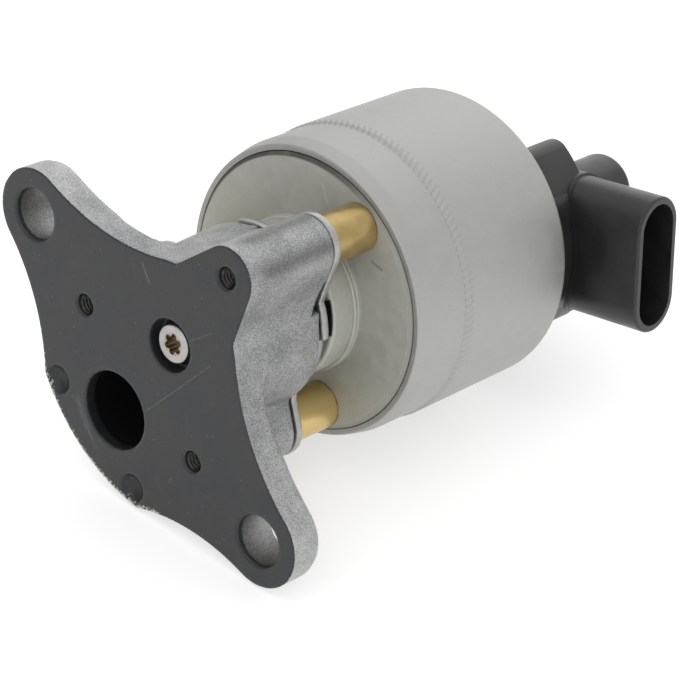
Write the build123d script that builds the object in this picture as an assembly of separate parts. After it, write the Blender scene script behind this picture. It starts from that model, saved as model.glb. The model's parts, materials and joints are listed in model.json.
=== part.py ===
from build123d import *
import os
from math import acos, atan2, cos, degrees, hypot, radians, sin, sqrt, tan

# Electric exhaust gas recirculation valve: a flanged casting, a solenoid and a position sensor.
# Sizes are in millimetres. The origin lies midway between the two flange bolts on the mounting face.
# The valve axis runs along +Z from the mounting face to the cap, and +X runs towards one ear.
# Every piece is drawn about the valve axis, which stands axis_offset away from the origin along +Y.

# Mounting flange
bolt_spacing = 67.4
bolt_hole_diameter = 9.0
axis_offset = 9.36
ear_radius = 8.2
flange_thickness = 5.7
flange_edge_rounding = 0.8
upper_sweep_radius = 43.0
lower_sweep_radius = 39.0
skirt_radius = 33.75
skirt_half_width = 14.45
skirt_corner_rounding = 1.2
dimple_diameter = 5.6
dimple_depth = 0.5
dimple_spread = 11.5
dimple_offset = 28.5

# Casting body
casting_height = 19.3
waist_radius = 14.9
shoulder_radius = 15.8
notch_angle = 33.5
notch_rounding = 0.5
screw_circle_radius = 20.1
screw_angles = (90.0, -36.0, -144.0)
lobe_radius = 5.45
lobe_root_rounding = 1.6
casting_edge_rounding = 0.5

# Gas passages
inlet_diameter = 9.26
seat_height = 2.6
chamber_radius = 8.2
guide_pocket_radius = 10.0
guide_pocket_depth = 3.1
outlet_diameter = 14.0
outlet_offset = 20.8
outlet_depth = 13.0
outlet_land = 2.3
outlet_cavity_diameter = 16.0
outlet_wall = 3.4
duct_roof = 3.2
duct_rounding = 3.0
crossover_width = 12.0

# Seat ring and pintle
seat_outer_diameter = 13.0
seat_thickness = 3.6
seat_gap = 0.06
seat_land_height = 1.5
seat_mouth_diameter = 11.8
cone_half_angle = 23.0
tip_diameter = 6.6
tip_recess = 0.8
tip_chamfer = 0.3
head_diameter = 9.6
head_back_length = 1.6
stem_diameter = 5.0
stem_neck_rounding = 1.2
socket_diameter = 3.86
socket_root_diameter = 2.77
socket_depth = 1.8
socket_lobes = 6

# Stem guide, deflector, gasket and cover plate
running_clearance = 0.03
pressed_gap = 0.02
bushing_flange_thickness = 2.5
bushing_boss_radius = 4.6
bushing_boss_length = 4.6
deflector_thickness = 0.6
deflector_gap = 0.3
gasket_thickness = 0.3
gasket_inset = 0.6
cover_thickness = 1.5
cover_body_radius = 15.0
cover_overhang = 0.1
cover_bore_diameter = 7.0
cover_tab_radius = 16.4
cover_tab_thickness = 2.0
cover_tab_angles = (131.0, 49.0)
cover_tab_span = 22.0
screw_hole_clearance = 0.2

# Spacers and clamping screws
spacer_diameter = 8.6
spacer_length = 10.4
screw_diameter = 4.0
tapped_hole_clearance = 0.05
screw_setback = 6.5
screw_head_diameter = 7.0
screw_head_height = 2.8
screw_key_size = 3.0
screw_key_depth = 1.4

# Front pole plate with its nose
pole_plate_radius = 24.75
pole_plate_thickness = 5.5
pole_plate_chamfer = 0.6
nose_radius = 13.5
nose_length = 6.6
nose_rounding = 0.8
nose_collar_radius = 13.98
nose_collar_rounding = 0.33
nose_collar_height = 1.6
nose_collar_groove = 0.05
nose_bore_diameter = 6.4
pole_pocket_floor = 8.6
pole_tube_wall = 1.6
pole_tube_length = 6.0
pole_tube_taper = 0.9
seal_outer_radius = 5.0
seal_thickness = 2.4

# Armature, guide sleeve and upper pole
armature_radius = 8.5
armature_length = 18.0
armature_floor_gap = 2.6
spring_pocket_radius = 5.2
spring_pocket_depth = 6.0
journal_diameter = 4.0
journal_reach = 4.6
nut_across_flats = 6.0
nut_height = 3.0
valve_lift = 4.5
air_gap = 0.5
sleeve_clearance = 0.08
sleeve_thickness = 0.4
sleeve_seat_gap = 0.05
upper_pole_bore_depth = 4.0
upper_pole_flange_radius = 11.0

# Coil
bobbin_bore_gap = 0.2
bobbin_wall = 1.2
bobbin_flange_thickness = 1.3
bobbin_flange_radius = 24.0
winding_radius = 22.8
face_gap = 0.1
coil_length = 26.3
coil_post_spread = 20.0
coil_post_circle = 17.0
coil_post_width = 1.2
coil_post_thickness = 0.8
coil_post_rise = 12.0
coil_post_clearance = 0.8

# Can
can_wall = 1.55
can_front_radius = 26.6
can_rear_radius = 27.0
can_front_setback = 0.65
can_front_rounding = 3.0
can_front_lip = 0.9
can_corner_rise = 3.1
can_step_rise = 12.6
can_step_length = 1.6
can_length = 39.5
can_rim_bore_radius = 24.1
can_rim_rounding = 1.5

# Return spring
return_spring_wire = 1.0
return_spring_radius = 4.4
return_spring_turns = 5.5

# Flux washer
flux_washer_thickness = 3.0
flux_washer_radius = 25.3

# Sensor cap
cap_gap = 0.1
cap_foot_radius = 25.3
cap_foot_height = 3.4
cap_radius = 23.8
cap_deck_height = 6.5
cap_wall = 2.2
connector_angle = 139.5
block_start_angle = 84.4
block_end_angle = 184.0
block_corner = 3.2
block_height = 17.3
block_rounding = 0.6
housing_half_width = 8.0
housing_reach = 16.7
housing_height = 27.4
housing_rounding = 2.0
tower_width = 25.6
tower_thickness = 12.4
tower_height = 29.4
tower_rounding = 1.3
shroud_width = 25.3
shroud_thickness = 11.5
shroud_wall = 1.3
shroud_height = 16.7
shroud_reach = 37.6
shroud_depth = 14.0
shroud_rim_rounding = 0.5
root_bead_width = 0.4
root_bead_rise = 0.6
cap_room_reach = 19.3
pin_room_width = 20.9
pin_room_thickness = 7.0
latch_width = 6.0
latch_height = 1.5
latch_length = 5.0
latch_setback = 4.0
latch_crest = 1.5
seal_ring_radius = 0.95
seal_groove_width = 2.2

# Connector pins
pin_count = 5
pin_pitch = 3.9
pin_width = 1.5
pin_thickness = 0.64
pin_setback = 6.4
pin_leg = 7.0
pin_root_reach = 17.1

# Sensor
plunger_diameter = 4.0
plunger_gap = 0.1
carrier_rise = 23.0
carrier_height = 7.0
carrier_width = 7.0
sensor_board_thickness = 1.2
sensor_board_place = 8.5
sensor_board_roof_gap = 1.8
sensor_board_rise = 1.4
board_side_gap = 0.15
wiper_thickness = 0.4
wiper_width = 6.4
wiper_gap = 0.3
wiper_track_spread = 2.0
wiper_plate_height = 3.5
wiper_finger_width = 1.2
sensor_spring_wire = 0.6
sensor_spring_radius = 2.9
sensor_spring_turns = 4.5

# How close two points must be to count as one
tolerance = 0.001

# Heights that the stack of pieces gives
cover_base = casting_height + gasket_thickness
cover_top = cover_base + cover_thickness
plate_face = cover_top + spacer_length
nose_face = plate_face - nose_length
plate_back = plate_face + pole_plate_thickness
pocket_floor = nose_face + pole_pocket_floor
coil_base = plate_back + face_gap
coil_top = coil_base + coil_length
washer_base = coil_top + face_gap
washer_top = washer_base + flux_washer_thickness
cap_base = washer_top + cap_gap
armature_base = pocket_floor + armature_floor_gap
armature_top = armature_base + armature_length
upper_pole_face = armature_top + valve_lift + air_gap
spring_floor = armature_top - spring_pocket_depth
spring_roof = upper_pole_face + upper_pole_bore_depth
can_front = plate_face + can_front_setback
can_rear = can_front + can_length
pocket_base = casting_height - guide_pocket_depth
housing_roof = cap_base + housing_height - cap_wall
sleeve_inner_radius = armature_radius + sleeve_clearance
sleeve_outer_radius = sleeve_inner_radius + sleeve_thickness
pole_tube_bore = sleeve_outer_radius + sleeve_seat_gap
bobbin_bore = pole_tube_bore + pole_tube_wall + bobbin_bore_gap


def toward(centre, target, distance):
    """The point at a distance from a centre, towards a target."""
    span = hypot(target[0] - centre[0], target[1] - centre[1])
    share = distance / span
    return (centre[0] + share * (target[0] - centre[0]), centre[1] + share * (target[1] - centre[1]))


def polar(radius, angle):
    """The point at a radius and an angle in degrees about the valve axis."""
    return (radius * cos(radians(angle)), radius * sin(radians(angle)))


def circles_meet(centre_a, radius_a, centre_b, radius_b, side):
    """The point where two circles meet, on one side of the line between their centres."""
    dx = centre_b[0] - centre_a[0]
    dy = centre_b[1] - centre_a[1]
    gap = hypot(dx, dy)
    along = (radius_a**2 - radius_b**2 + gap**2) / (2 * gap)
    across = side * sqrt(radius_a**2 - along**2)
    return (centre_a[0] + (along * dx - across * dy) / gap, centre_a[1] + (along * dy + across * dx) / gap)


def arc_about(centre, start, end):
    """The shorter arc about a centre from start to end."""
    middle = ((start[0] + end[0]) / 2, (start[1] + end[1]) / 2)
    radius = hypot(start[0] - centre[0], start[1] - centre[1])
    return ThreePointArc(start, toward(centre, middle, radius), end)


def turned(*points):
    """A solid turned about the valve axis from an outline of (radius, height) points."""
    return revolve(make_face(Plane.XZ * Polyline(*points, close=True)), Axis.Z)


def rounded_turned(*corners):
    """A turned solid from (radius, height, rounding) corners."""
    points = [(corner[0], corner[1]) for corner in corners]
    roundings = [corner[2] for corner in corners]
    return revolve(make_face(Plane.XZ * FilletPolyline(*points, radius=roundings, close=True)), Axis.Z)


def ring(outer, inner, bottom, top):
    """A plain turned ring."""
    return turned((inner, bottom), (outer, bottom), (outer, top), (inner, top))


def disc(radius, bottom, top):
    """A plain cylinder between two heights."""
    return Pos(0, 0, bottom) * extrude(Circle(radius), top - bottom)


def at_screws(shape):
    """Copies of a shape at the three clamping screws."""
    return [Pos(*polar(screw_circle_radius, angle), 0) * shape for angle in screw_angles]


def outward_edges(shape, height):
    """The edges of a shape that lie flat at a height."""
    return [e for e in shape.edges() if abs(e.bounding_box().min.Z - height) < tolerance
            and abs(e.bounding_box().max.Z - height) < tolerance]


def notch_corners(body_radius):
    """Where the top lobe's flanks meet the round body, on either side."""
    return [polar(body_radius, 90 - side * notch_angle) for side in (1, -1)]


def top_lobe(body_radius, radius):
    """The lobe on +Y, whose flanks run straight from its round end to the notches."""
    centre = (0, screw_circle_radius)
    right, left = notch_corners(body_radius)
    reach = hypot(right[0] - centre[0], right[1] - centre[1])
    lean = degrees(atan2(right[1] - centre[1], right[0])) + degrees(acos(radius / reach))
    flank = (centre[0] + radius * cos(radians(lean)), centre[1] + radius * sin(radians(lean)))
    wedge = Polyline((0, 0), right, flank, (-flank[0], flank[1]), left, close=True)
    return make_face(wedge) + Pos(*centre) * Circle(radius)


def side_lobes(radius):
    """The two lobes with parallel flanks."""
    arm = Pos(screw_circle_radius / 2, 0) * Rectangle(screw_circle_radius, 2 * radius)
    lobe = arm + Pos(screw_circle_radius, 0) * Circle(radius)
    return [Rot(0, 0, angle) * lobe for angle in screw_angles[1:]]


def cover_outline(inset):
    """The outline that the gasket and the cover plate share with the casting's end."""
    body = cover_body_radius - inset
    lobe = lobe_radius + cover_overhang - inset
    outline = Circle(body) + top_lobe(body, lobe) + side_lobes(lobe)
    roots = [v for v in outline.vertices() if v.Y < 0 and abs(hypot(v.X, v.Y) - body) < tolerance]
    return fillet(roots, lobe_root_rounding)


def flange_outline():
    """Half the flange's outline, from the top lobe round one ear to the skirt, and its mirror image."""
    axis = (0, 0)
    ear = (bolt_spacing / 2, -axis_offset)
    corner = (skirt_half_width, -sqrt(skirt_radius**2 - skirt_half_width**2))
    notch = notch_corners(waist_radius)[0]
    upper = circles_meet(axis, waist_radius + upper_sweep_radius, ear, ear_radius + upper_sweep_radius, 1)
    lower = circles_meet(ear, ear_radius + lower_sweep_radius, corner, lower_sweep_radius, 1)
    sweep_start = toward(axis, upper, waist_radius)
    ear_top = toward(ear, upper, ear_radius)
    ear_tip = (ear[0] + ear_radius, ear[1])
    ear_bottom = toward(ear, lower, ear_radius)
    edges = [
        Line(axis, notch),
        arc_about(axis, notch, sweep_start),
        arc_about(upper, sweep_start, ear_top),
        arc_about(ear, ear_top, ear_tip),
        arc_about(ear, ear_tip, ear_bottom),
        arc_about(lower, ear_bottom, corner),
        arc_about(axis, corner, (0, -skirt_radius)),
        Line((0, -skirt_radius), axis),
    ]
    half = make_face(edges)
    outline = half + mirror(half, Plane.YZ) + top_lobe(waist_radius, lobe_radius)
    corners = [v for v in outline.vertices() if abs(v.Y - corner[1]) < tolerance]
    outline = fillet(corners, skirt_corner_rounding)
    notches = [v for v in outline.vertices() if abs(v.Y - notch[1]) < tolerance]
    return fillet(notches, notch_rounding)


def base_casting():
    """The casting: flange, lobed body, duct to the outlet, and the gas passages inside."""
    flange = extrude(flange_outline(), flange_thickness)
    flange = fillet(outward_edges(flange, flange_thickness), flange_edge_rounding)
    upright = (Align.CENTER, Align.CENTER, Align.MIN)
    body = Cone(waist_radius, shoulder_radius, casting_height, align=upright)
    lobes = extrude(top_lobe(waist_radius, lobe_radius) + side_lobes(lobe_radius), casting_height)
    body = body + lobes
    body = fillet(outward_edges(body, casting_height), casting_edge_rounding)
    duct_radius = outlet_diameter / 2 + outlet_wall
    duct_plan = Pos(0, -outlet_offset) * Circle(duct_radius)
    duct_plan += Pos(0, -outlet_offset / 2) * Rectangle(2 * duct_radius, outlet_offset)
    duct_top = outlet_depth + duct_roof
    duct = extrude(duct_plan, duct_top)
    duct = fillet(outward_edges(duct, duct_top), duct_rounding)
    casting = flange + body + duct
    outlet = disc(outlet_diameter / 2, 0, outlet_land)
    outlet += disc(outlet_cavity_diameter / 2, outlet_land, outlet_depth)
    outlet = Pos(0, -outlet_offset, 0) * outlet
    seat_top = seat_height + seat_thickness
    crossover = Pos(0, -outlet_offset / 2, (seat_top + outlet_depth) / 2)
    crossover *= Box(crossover_width, outlet_offset, outlet_depth - seat_top)
    casting -= [outlet, crossover]
    casting -= disc(inlet_diameter / 2, 0, seat_height)
    casting -= disc(seat_outer_diameter / 2 + pressed_gap, seat_height, seat_top)
    casting -= disc(chamber_radius, seat_top, pocket_base)
    casting -= disc(guide_pocket_radius, pocket_base, casting_height)
    casting -= at_screws(disc(screw_diameter / 2 + tapped_hole_clearance, 0, casting_height))
    bolt_hole = disc(bolt_hole_diameter / 2, 0, flange_thickness)
    dimple = disc(dimple_diameter / 2, 0, dimple_depth)
    for side in (-1, 1):
        casting -= Pos(side * bolt_spacing / 2, -axis_offset, 0) * bolt_hole
        casting -= Pos(side * dimple_spread, -dimple_offset, 0) * dimple
    return casting


def cone_radius(height):
    """The pintle's conical face: its radius at a height, with the valve shut."""
    return tip_diameter / 2 + (height - tip_recess) * tan(radians(cone_half_angle))


def valve_seat():
    """The pressed-in ring whose bore is the cone that the pintle shuts against."""
    top = seat_height + seat_thickness
    land_top = seat_height + seat_land_height
    outer = seat_outer_diameter / 2
    return turned(
        (cone_radius(seat_height) + seat_gap, seat_height),
        (outer, seat_height),
        (outer, top),
        (seat_mouth_diameter / 2, top),
        (cone_radius(land_top) + seat_gap, land_top),
    )


def tip_socket():
    """The six-lobed recess in the pintle's tip."""
    lobe = (socket_diameter - socket_root_diameter) / 2
    plan = Circle(socket_root_diameter / 2)
    for step in range(socket_lobes):
        plan += Pos(*polar(socket_diameter / 2 - lobe, step * 360 / socket_lobes)) * Circle(lobe)
    return Pos(0, 0, tip_recess) * extrude(plan, socket_depth)


def pintle():
    """The pintle: socket tip, sealing cone, stem, and the journal that carries the armature."""
    shoulder = armature_base
    journal_top = spring_floor + journal_reach
    head_radius = head_diameter / 2
    head_height = tip_recess + (head_radius - tip_diameter / 2) / tan(radians(cone_half_angle))
    stem_start = head_height + head_back_length
    stem = stem_diameter / 2
    body = rounded_turned(
        (0, tip_recess, 0),
        (tip_diameter / 2, tip_recess, tip_chamfer),
        (head_radius, head_height, tip_chamfer),
        (stem, stem_start, stem_neck_rounding),
        (stem, shoulder, 0),
        (journal_diameter / 2, shoulder, 0),
        (journal_diameter / 2, journal_top, tip_chamfer),
        (0, journal_top, 0),
    )
    return body - tip_socket()


def stem_bushing():
    """The flanged guide of the stem, seated in the casting's pocket."""
    bore = stem_diameter / 2 + running_clearance
    flange_base = casting_height - bushing_flange_thickness
    flange = guide_pocket_radius - pressed_gap
    boss_base = flange_base - bushing_boss_length
    return rounded_turned(
        (bore, boss_base, 0),
        (bushing_boss_radius, boss_base, tip_chamfer),
        (bushing_boss_radius, flange_base, 0),
        (flange, flange_base, 0),
        (flange, casting_height, tip_chamfer),
        (bore, casting_height, 0),
    )


def gas_deflector():
    """The thin cup that keeps the gas off the stem guide, held under the guide's flange."""
    rim = guide_pocket_radius - pressed_gap
    inner = bushing_boss_radius + deflector_gap
    outer = inner + deflector_thickness
    top = casting_height - bushing_flange_thickness
    base = top - bushing_boss_length
    return turned((inner, base), (outer, base), (outer, top - deflector_thickness),
                  (rim, top - deflector_thickness), (rim, top), (inner, top))


def cover_gasket():
    """The gasket between the casting and the cover plate."""
    holes = [Pos(*polar(screw_circle_radius, a)) * Circle(screw_diameter / 2 + screw_hole_clearance)
             for a in screw_angles]
    plan = cover_outline(gasket_inset) - Circle(cover_bore_diameter / 2) - holes
    return Pos(0, 0, casting_height) * extrude(plan, gasket_thickness)


def cover_plate():
    """The steel plate that closes the casting, with two raised tabs between its lobes."""
    plan = cover_outline(0)
    plate = extrude(plan, cover_thickness)
    for angle in cover_tab_angles:
        edge = 2 * cover_tab_radius
        sides = [polar(edge, angle + side * cover_tab_span / 2) for side in (-1, 1)]
        wedge = Polyline((0, 0), *sides, close=True)
        tab = make_face(wedge) & Circle(cover_tab_radius)
        tab -= Circle(shoulder_radius - cover_tab_thickness)
        plate += extrude(tab, cover_tab_thickness)
    plate -= disc(cover_bore_diameter / 2, 0, cover_tab_thickness)
    plate -= at_screws(disc(screw_diameter / 2 + screw_hole_clearance, 0, cover_tab_thickness))
    return Pos(0, 0, cover_base) * plate


def spacers():
    """The three tubes that hold the solenoid off the hot casting."""
    tube = ring(spacer_diameter / 2, screw_diameter / 2 + screw_hole_clearance, cover_top, plate_face)
    return at_screws(tube)


def screw_head_seat():
    """The height at which the screw heads bear inside the pole plate."""
    return plate_back - screw_head_height - face_gap


def clamp_screws():
    """The three socket screws that run from the pole plate through the spacers into the casting."""
    seat = screw_head_seat()
    shank = disc(screw_diameter / 2, screw_setback, seat)
    head = disc(screw_head_diameter / 2, seat, seat + screw_head_height)
    key = RegularPolygon(screw_key_size / 2, 6, major_radius=False)
    socket = Pos(0, 0, seat + screw_head_height - screw_key_depth) * extrude(key, screw_key_depth)
    shank = chamfer(shank.edges().sort_by(Axis.Z)[0], tip_chamfer)
    return at_screws(shank + head - socket)


def pole_plate():
    """The front pole: a plate with a round nose in front and a short pole tube inside the coil."""
    tube = pole_tube_bore + pole_tube_wall
    tube_top = plate_back + pole_tube_length
    collar_middle = plate_face - nose_collar_height / 2
    plate = rounded_turned(
        (nose_bore_diameter / 2, nose_face, 0),
        (nose_radius, nose_face, nose_rounding),
        (nose_radius, plate_face - nose_collar_height, 0),
        (nose_collar_radius, plate_face - nose_collar_height, nose_collar_rounding),
        (nose_collar_radius, collar_middle - nose_collar_groove, nose_collar_rounding),
        (nose_radius, collar_middle, 0),
        (nose_collar_radius, collar_middle + nose_collar_groove, nose_collar_rounding),
        (nose_collar_radius, plate_face, 0),
        (pole_plate_radius - pole_plate_chamfer, plate_face, 0),
        (pole_plate_radius, plate_face + pole_plate_chamfer, 0),
        (pole_plate_radius, plate_back, 0),
        (tube, plate_back, 0),
        (tube - pole_tube_taper, tube_top, 0),
        (pole_tube_bore, tube_top, 0),
        (pole_tube_bore, pocket_floor, 0),
        (nose_bore_diameter / 2, pocket_floor, 0),
    )
    seat = screw_head_seat()
    plate -= disc(seal_outer_radius + pressed_gap, nose_face, nose_face + seal_thickness)
    plate -= at_screws(disc(screw_diameter / 2 + screw_hole_clearance, plate_face, seat))
    plate -= at_screws(disc(screw_head_diameter / 2 + screw_hole_clearance, seat, plate_back))
    return plate


def stem_seal():
    """The ring in the nose that wipes the stem."""
    bore = stem_diameter / 2 + running_clearance
    return ring(seal_outer_radius, bore, nose_face, nose_face + seal_thickness)


def guide_sleeve():
    """The thin non-magnetic tube in which the armature slides."""
    return ring(sleeve_outer_radius, sleeve_inner_radius, pocket_floor, washer_base - face_gap)


def armature():
    """The iron plunger on the stem, with a pocket for the return spring."""
    bore = journal_diameter / 2 + pressed_gap
    return rounded_turned(
        (bore, armature_base, 0),
        (armature_radius, armature_base, tip_chamfer),
        (armature_radius, armature_top, tip_chamfer),
        (spring_pocket_radius, armature_top, 0),
        (spring_pocket_radius, spring_floor, 0),
        (bore, spring_floor, 0),
    )


def armature_nut():
    """The nut that holds the armature on the stem's journal."""
    plan = RegularPolygon(nut_across_flats / 2, 6, major_radius=False)
    plan -= Circle(journal_diameter / 2 + pressed_gap)
    return Pos(0, 0, spring_floor) * extrude(plan, nut_height)


def upper_pole():
    """The fixed pole that the armature is drawn towards, bored for the sensor's plunger."""
    spigot = sleeve_inner_radius - sleeve_seat_gap
    bore = plunger_diameter / 2 + 2 * running_clearance
    return turned(
        (spring_pocket_radius, upper_pole_face),
        (spigot, upper_pole_face),
        (spigot, washer_base),
        (upper_pole_flange_radius, washer_base),
        (upper_pole_flange_radius, washer_top),
        (bore, washer_top),
        (bore, spring_roof),
        (spring_pocket_radius, spring_roof),
    )


def coil_spring(wire, radius, turns, bottom, top):
    """A round-wire compression spring that fills the height between its two seats."""
    half = wire / 2
    rise = top - bottom - wire
    path = Helix(rise / turns, rise, radius)
    section = Plane(path @ 0, z_dir=path % 0) * Circle(half)
    return Pos(0, 0, bottom + half) * sweep(section, path, is_frenet=True)


def return_spring():
    """The spring that shuts the valve, between the armature and the upper pole."""
    return coil_spring(return_spring_wire, return_spring_radius, return_spring_turns,
                       spring_floor + face_gap, spring_roof - face_gap)


def bobbin():
    """The plastic spool of the coil."""
    core = bobbin_bore + bobbin_wall
    inner_base = coil_base + bobbin_flange_thickness
    inner_top = coil_top - bobbin_flange_thickness
    return turned(
        (bobbin_bore, coil_base),
        (bobbin_flange_radius, coil_base),
        (bobbin_flange_radius, inner_base),
        (core, inner_base),
        (core, inner_top),
        (bobbin_flange_radius, inner_top),
        (bobbin_flange_radius, coil_top),
        (bobbin_bore, coil_top),
    )


def coil_winding():
    """The copper winding on the spool."""
    core = bobbin_bore + bobbin_wall + pressed_gap
    base = coil_base + bobbin_flange_thickness + face_gap
    return ring(winding_radius, core, base, coil_top - bobbin_flange_thickness - face_gap)


def coil_post_places():
    """Where the coil's two posts stand, one on either side of the connector's direction."""
    return [polar(coil_post_circle, connector_angle + side * coil_post_spread) for side in (-1, 1)]


def coil_terminals():
    """The two posts that carry current from the coil up into the cap."""
    section = Rot(0, 0, connector_angle) * Rectangle(coil_post_width, coil_post_thickness)
    post = extrude(section, washer_top - coil_top + coil_post_rise)
    return [Pos(*place, coil_top) * post for place in coil_post_places()]


def flux_washer():
    """The steel washer that closes the magnetic circuit behind the coil."""
    washer = ring(flux_washer_radius, upper_pole_flange_radius + sleeve_seat_gap, washer_base, washer_top)
    hole_radius = hypot(coil_post_width, coil_post_thickness) / 2 + coil_post_clearance
    hole = disc(hole_radius, washer_base, washer_top)
    return washer - [Pos(*place, 0) * hole for place in coil_post_places()]


def can_shell():
    """The steel can, stepped behind its front band and rolled in over the cap's foot."""
    step = plate_face + can_step_rise
    front_bore = can_front_radius - can_wall
    rear_bore = can_rear_radius - can_wall
    lip = can_front_radius - (can_wall - can_front_lip)
    return rounded_turned(
        (front_bore, can_front, 0),
        (lip, can_front, 0),
        (can_front_radius, can_front + can_corner_rise, can_front_rounding),
        (can_front_radius, step, can_step_length),
        (can_rear_radius, step + can_step_length, can_step_length),
        (can_rear_radius, can_rear, can_rim_rounding),
        (can_rim_bore_radius, can_rear, 0),
        (can_rim_bore_radius, can_rear - can_wall, 0),
        (rear_bore, can_rear - can_wall, 0),
        (rear_bore, step + can_step_length, 0),
        (front_bore, step, 0),
    )


def seal_groove_height():
    """The height of the seal ring's centre in the cap's foot."""
    return cap_base + cap_foot_height / 2


def cap_seal():
    """The rubber ring between the cap's foot and the can."""
    centre = can_rear_radius - can_wall - seal_ring_radius - pressed_gap
    return Pos(0, 0, seal_groove_height()) * Torus(centre, seal_ring_radius)


def connector_frame(rise):
    """A frame at a height above the cap's base, with X along the connector's direction."""
    return Pos(0, 0, cap_base + rise) * Rot(0, 0, connector_angle)


def rounded_slab(back, front, half_width, corner):
    """An outline with a half-round back about the valve axis and a front with rounded corners."""
    plan = Pos((back + front) / 2, 0) * Rectangle(front - back, 2 * half_width)
    corners = [v for v in plan.vertices() if v.X > back + corner]
    plan = fillet(corners, corner)
    return plan + Circle(half_width)


def shroud_plan(offset):
    """The connector's oval, in the plane across its direction, shrunk by an offset."""
    return SlotOverall(shroud_width - 2 * offset, shroud_thickness - 2 * offset)


def shroud_prism(offset, start, end):
    """An oval prism along the connector's direction, between two distances from the valve axis."""
    section = Plane(origin=(start, 0, shroud_height), x_dir=(0, 1, 0), z_dir=(1, 0, 0))
    return extrude(section * shroud_plan(offset), end - start)


def latch_ramp():
    """The catch for the plug's latch, on the oval's far side."""
    base = shroud_height + shroud_thickness / 2 - shroud_wall / 2
    top = shroud_height + shroud_thickness / 2 + latch_height
    front = shroud_reach - latch_setback
    back = front - latch_length
    side = Polyline((back, base), (front, base), (back + latch_crest, top), (back, top), close=True)
    return extrude(make_face(Plane.XZ * side), latch_width / 2, both=True)


def cap_block():
    """The raised block around the connector's root: a sector with rounded corners."""
    start = block_start_angle - connector_angle
    end = block_end_angle - connector_angle
    middle = (start + end) / 2
    corners = [polar(2 * cap_radius, angle) for angle in (start, middle, end)]
    plan = make_face(Polyline((0, 0), *corners, close=True)) & Circle(cap_radius)
    outer = [v for v in plan.vertices() if hypot(v.X, v.Y) > cap_radius - tolerance]
    block = extrude(fillet(outer, block_corner), block_height)
    return fillet(outward_edges(block, block_height), block_rounding)


def cap_room():
    """The room inside the cap: over the valve axis for the sensor, and across the tower for the pins."""
    sensor_room = rounded_slab(0, cap_room_reach, housing_half_width - cap_wall, cap_wall)
    pin_room = Rot(0, 0, 90) * SlotOverall(pin_room_width, pin_room_thickness)
    pin_room = Pos(cap_room_reach - pin_room_thickness / 2, 0) * pin_room
    return extrude(sensor_room + pin_room, housing_height - cap_wall)


def sensor_cap():
    """The moulded cap: foot, deck, block, sensor housing, oval tower and connector shroud."""
    foot = disc(cap_foot_radius, 0, cap_foot_height)
    deck = disc(cap_radius, 0, cap_deck_height)
    housing = extrude(rounded_slab(0, housing_reach, housing_half_width, cap_wall), housing_height)
    housing = fillet(outward_edges(housing, housing_height), housing_rounding)
    tower = extrude(Rot(0, 0, 90) * SlotOverall(tower_width, tower_thickness), tower_height)
    tower = Pos(housing_reach, 0, 0) * fillet(outward_edges(tower, tower_height), tower_rounding)
    shroud = shroud_prism(0, housing_reach, shroud_reach)
    rim = [e for e in shroud.edges() if e.bounding_box().min.X > shroud_reach - tolerance]
    shroud = fillet(rim, shroud_rim_rounding)
    bead = shroud_prism(-root_bead_width, housing_reach, shroud_reach)
    bead &= disc(cap_radius + root_bead_rise, 0, tower_height)
    cap = (tower + housing) + (cap_block() + foot + deck) + (shroud + latch_ramp()) + bead
    cap -= cap_room()
    cap -= shroud_prism(shroud_wall, shroud_reach - shroud_depth, shroud_reach)
    groove = seal_groove_height() - cap_base
    cap -= ring(cap_foot_radius, cap_foot_radius - 2 * seal_ring_radius, groove - seal_groove_width / 2,
                groove + seal_groove_width / 2)
    cap -= pin_blades(pressed_gap)
    return connector_frame(0) * cap


def pin_offsets():
    """Where the pins stand across the connector."""
    return [pin_pitch * (step - (pin_count - 1) / 2) for step in range(pin_count)]


def pin_blades(growth):
    """The straight blades of the pins, grown on all sides for the slots that hold them."""
    front = shroud_reach - pin_setback
    blade = Box(front - pin_root_reach, pin_width + 2 * growth, pin_thickness + 2 * growth)
    return [Pos((front + pin_root_reach) / 2, offset, shroud_height) * blade for offset in pin_offsets()]


def connector_pins():
    """The row of pins: a blade into the shroud and a leg down inside the cap."""
    leg = Box(pin_thickness, pin_width, pin_leg, align=(Align.MIN, Align.CENTER, Align.MAX))
    pins = []
    for blade, offset in zip(pin_blades(0), pin_offsets()):
        pins.append(connector_frame(0) * (blade + Pos(pin_root_reach, offset, shroud_height) * leg))
    return pins


def carrier_base():
    """The height of the wiper carrier's underside, with the valve shut."""
    return spring_floor + journal_reach + plunger_gap + carrier_rise


def sensor_plunger():
    """The rod that follows the stem, with the block that carries the wiper."""
    base = spring_floor + journal_reach + plunger_gap
    rod = disc(plunger_diameter / 2, base, carrier_base() + carrier_height)
    section = Rot(0, 0, connector_angle) * Rectangle(carrier_width, carrier_width)
    return rod + Pos(0, 0, carrier_base()) * extrude(section, carrier_height)


def plunger_wiper():
    """The sprung contact on the carrier: a back plate and two fingers that reach towards the board."""
    face = carrier_width / 2
    board = sensor_board_place - sensor_board_thickness / 2 - wiper_gap
    low = carrier_base() - cap_base
    height = low + carrier_height / 2
    plate = Box(wiper_thickness, wiper_width, wiper_plate_height)
    plate = Pos(face + wiper_thickness / 2, 0, height) * plate
    reach = board - face
    finger = Box(reach, wiper_finger_width, wiper_thickness, align=(Align.MIN, Align.CENTER, Align.CENTER))
    fingers = [Pos(face, side * wiper_track_spread, height) * finger for side in (-1, 1)]
    return connector_frame(0) * (plate + fingers)


def sensor_spring():
    """The light spring that keeps the plunger on the stem."""
    return coil_spring(sensor_spring_wire, sensor_spring_radius, sensor_spring_turns,
                       carrier_base() + carrier_height + face_gap, housing_roof - face_gap)


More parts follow.
